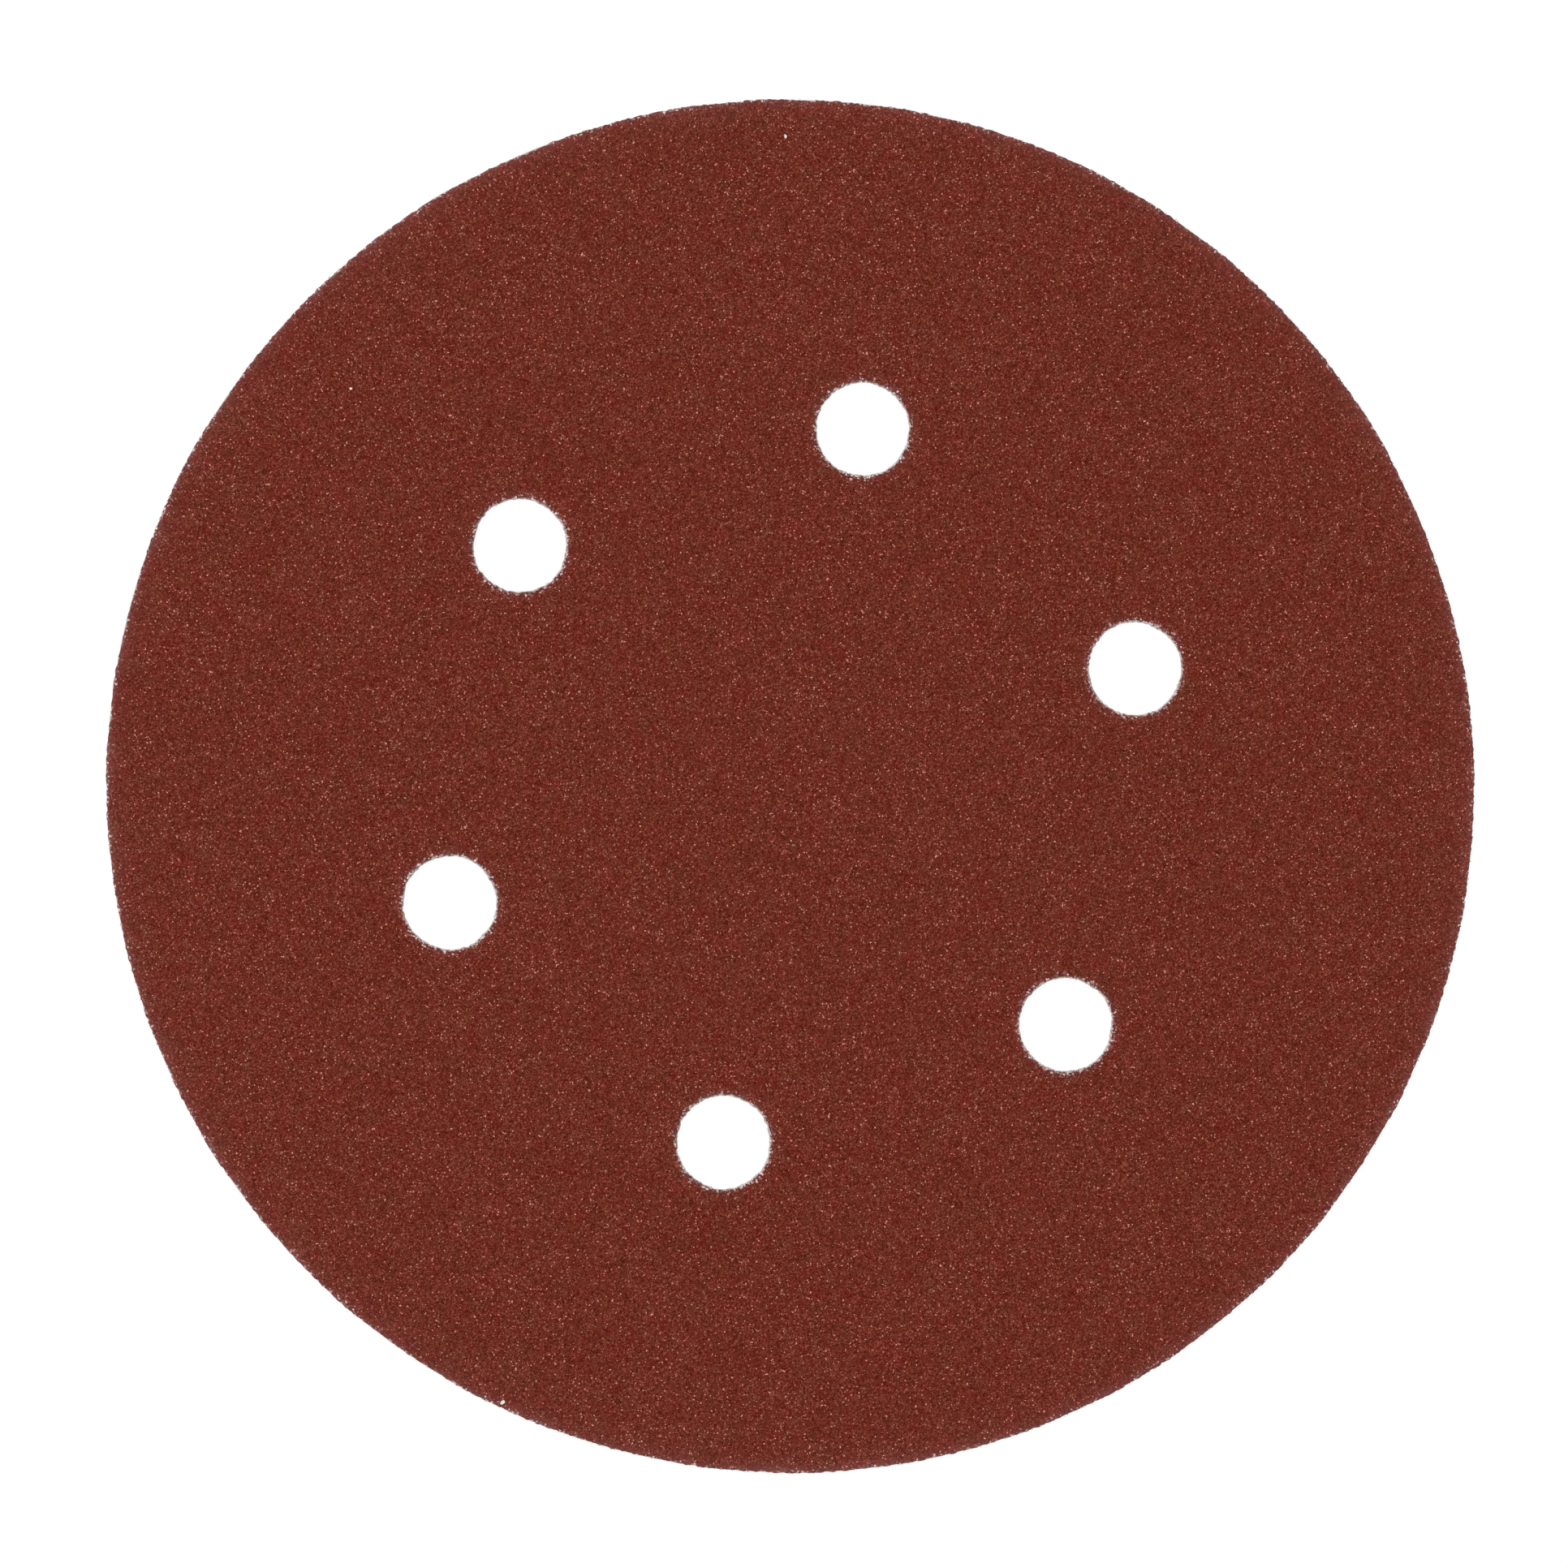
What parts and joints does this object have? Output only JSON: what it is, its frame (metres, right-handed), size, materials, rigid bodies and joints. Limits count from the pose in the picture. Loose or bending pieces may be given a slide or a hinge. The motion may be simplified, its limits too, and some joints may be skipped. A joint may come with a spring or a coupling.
{
  "type": "sanding disc",
  "caption": "Flat round coated-abrasive disc with a ring of punched dust holes and a loop-fabric back for a hook pad.",
  "frame": {"origin": "centre of the loop-fabric face that meets the pad, on the disc's axis", "axes": "+Z out of the grain face, along the disc's axis; +X through the middle of the first dust hole"},
  "size_m": [0.15, 0.15, 0.0011],
  "materials": {
    "grain_coated_paper": "matte",
    "loop_fabric": "matte"
  },
  "bodies": {
    "root": {"abrasive_sheet": "grain_coated_paper", "loop_backing": "loop_fabric"}
  },
  "joints": []
}
